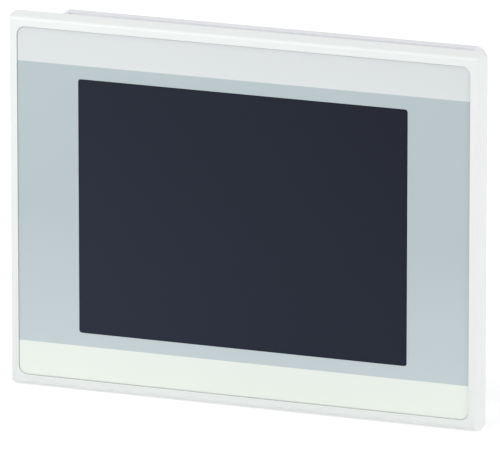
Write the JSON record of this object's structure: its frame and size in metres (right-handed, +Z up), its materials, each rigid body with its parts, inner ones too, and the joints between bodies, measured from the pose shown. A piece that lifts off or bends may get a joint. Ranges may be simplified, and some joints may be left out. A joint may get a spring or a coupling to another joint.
{
  "type": "hmi touch panel",
  "caption": "Panel-mounted operator touch display with a white bezel, printed front film, deep rear housing with ports underneath and a stepped connector side.",
  "frame": {"origin": "middle of the flange's rear face, the plane that meets the cabinet door", "axes": "+X right as seen from the front, +Y into the cabinet, +Z up"},
  "size_m": [0.17, 0.039, 0.13],
  "materials": {
    "bezel_plastic": "satin moulded white",
    "housing_plastic": "fine moulded texture, off-white",
    "decor_print": "screen-printed polyester, blue-grey field with pale bands above and below",
    "touch_surface": "anti-glare hard coat over the dark display",
    "touch_glass": "clear float glass",
    "adhesive": "black double-sided tape",
    "gasket_rubber": "closed-cell sealing rubber",
    "gasket_foam": "soft black foam",
    "stainless_skin": "thin stainless frame",
    "cell_glass": "dark liquid crystal cell",
    "guide_acrylic": "clear acrylic light guide with diffuser sheets",
    "led_strip": "light strip with emitters",
    "white_plastic": "plain moulding",
    "zinc_sheet": "zinc-plated sheet",
    "zinc_screw": "zinc-plated",
    "brass_part": "machined brass",
    "gold_contact": "gold-plated contacts",
    "board_green": "solder mask over glass-epoxy",
    "ivory_plastic": "connector moulding",
    "polyimide": "amber flexible circuit",
    "red_wire": "insulated wire",
    "chip_black": "moulded epoxy",
    "sink_aluminium": "extruded and anodised",
    "capacitor_can": "sleeved can",
    "port_shell": "tinned shell",
    "port_insert": "black connector moulding",
    "header_green": "header moulding",
    "plug_green": "plug moulding",
    "tin_pin": "tinned pin",
    "dark_plastic": "plain dark moulding",
    "card_plastic": "card moulding",
    "button_plastic": "light grey cap",
    "switch_red": "switch moulding",
    "cell_steel": "nickel-plated coin cell",
    "label_film": "blank foil label"
  },
  "bodies": {
    "panel": {"front_bezel": "bezel_plastic", "decor_film": "decor_print", "touch_film": "touch_surface", "touch_glass": "touch_glass", "touch_tape": "adhesive", "flange_gasket": "gasket_rubber", "display_dust_gasket": "gasket_foam", "lcd_metal_frame": "stainless_skin", "lcd_cell": "cell_glass", "light_guide": "guide_acrylic", "led_bar": "led_strip", "lcd_back_tray": "white_plastic", "display_carrier": "zinc_sheet", "carrier_screws": "zinc_screw", "board_standoffs": "brass_part", "main_board": "board_green", "board_screws": "zinc_screw", "front_connectors": "ivory_plastic", "display_ribbon": "polyimide", "touch_tail": "polyimide", "backlight_wires": "red_wire", "processor": "chip_black", "heat_sink": "sink_aluminium", "memory_chips": "chip_black", "interface_chips": "chip_black", "capacitors": "capacitor_can", "power_inductor": "dark_plastic", "ethernet_jack": "port_shell", "ethernet_contacts": "gold_contact", "usb_device_shell": "port_shell", "usb_host_shell": "port_shell", "usb_tongues": "white_plastic", "serial_port_shells": "port_shell", "serial_port_inserts": "port_insert", "serial_port_jackscrews": "zinc_screw", "power_header": "header_green", "power_header_pins": "tin_pin", "card_socket": "port_shell", "button_switch": "dark_plastic", "termination_switch": "switch_red", "battery_holder": "dark_plastic", "battery_clip": "gold_contact", "coin_cell": "cell_steel", "rear_housing": "housing_plastic", "housing_screws": "zinc_screw", "rating_plate": "label_film"},
    "control_button": {"control_button": "button_plastic", "switch_plunger": "dark_plastic"},
    "card_carriage": {"card_carriage": "dark_plastic"},
    "memory_card": {"memory_card": "card_plastic"},
    "power_plug": {"power_plug": "plug_green", "plug_screws": "zinc_screw"},
    "termination_slider_1": {"termination_slider_1": "white_plastic"},
    "termination_slider_2": {"termination_slider_2": "white_plastic"}
  },
  "joints": [
    {"name": "button_press", "type": "slide", "parent": "panel", "child": "control_button", "axis": [-1, 0, 0], "range_m": [0, 0.0006], "stiffness_N_per_m": 1200, "springref_m": -0.0003},
    {"name": "card_latch", "type": "slide", "parent": "panel", "child": "card_carriage", "axis": [1, 0, 0], "range_m": [-0.0008, 0.0035]},
    {"name": "card_pull", "type": "slide", "parent": "card_carriage", "child": "memory_card", "axis": [1, 0, 0], "range_m": [0, 0.034]},
    {"name": "plug_pull", "type": "slide", "parent": "panel", "child": "power_plug", "axis": [0, 0, -1], "range_m": [0, 0.014]},
    {"name": "termination_1_slide", "type": "slide", "parent": "panel", "child": "termination_slider_1", "axis": [0, 1, 0], "range_m": [0, 0.0022]},
    {"name": "termination_2_slide", "type": "slide", "parent": "panel", "child": "termination_slider_2", "axis": [0, 1, 0], "range_m": [0, 0.0022]}
  ]
}
